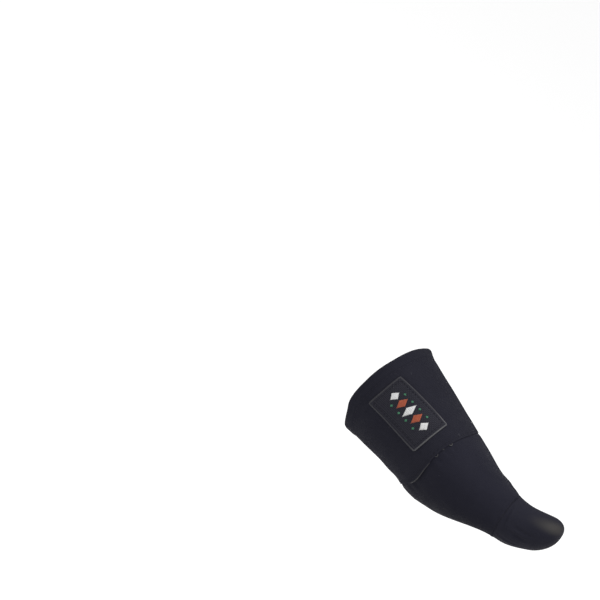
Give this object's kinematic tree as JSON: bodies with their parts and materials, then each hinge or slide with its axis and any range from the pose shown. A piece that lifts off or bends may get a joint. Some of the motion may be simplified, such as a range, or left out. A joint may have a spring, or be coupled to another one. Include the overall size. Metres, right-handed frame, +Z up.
{
  "type": "bunion splint",
  "caption": "Soft stretch sleeve for the forefoot: an open instep band with a sewn label, a front panel and a closed pocket that holds the big toe straight.",
  "frame": {"origin": "middle of the rear mouth, where the foot goes in", "axes": "+X forward along the foot to the toes, +Y to the little toe's side, +Z up to the top of the foot"},
  "size_m": [0.1333, 0.0858, 0.0703],
  "materials": {
    "padded_fabric": "matt padded knit, charcoal black",
    "stretch_fabric": "smooth stretch knit, charcoal black, slight sheen",
    "woven_label": "fine woven patch with a pale edge"
  },
  "bodies": {
    "root": {"instep_band": "padded_fabric", "forefoot_panel": "stretch_fabric", "toe_pocket": "stretch_fabric", "label": "woven_label"}
  },
  "joints": []
}
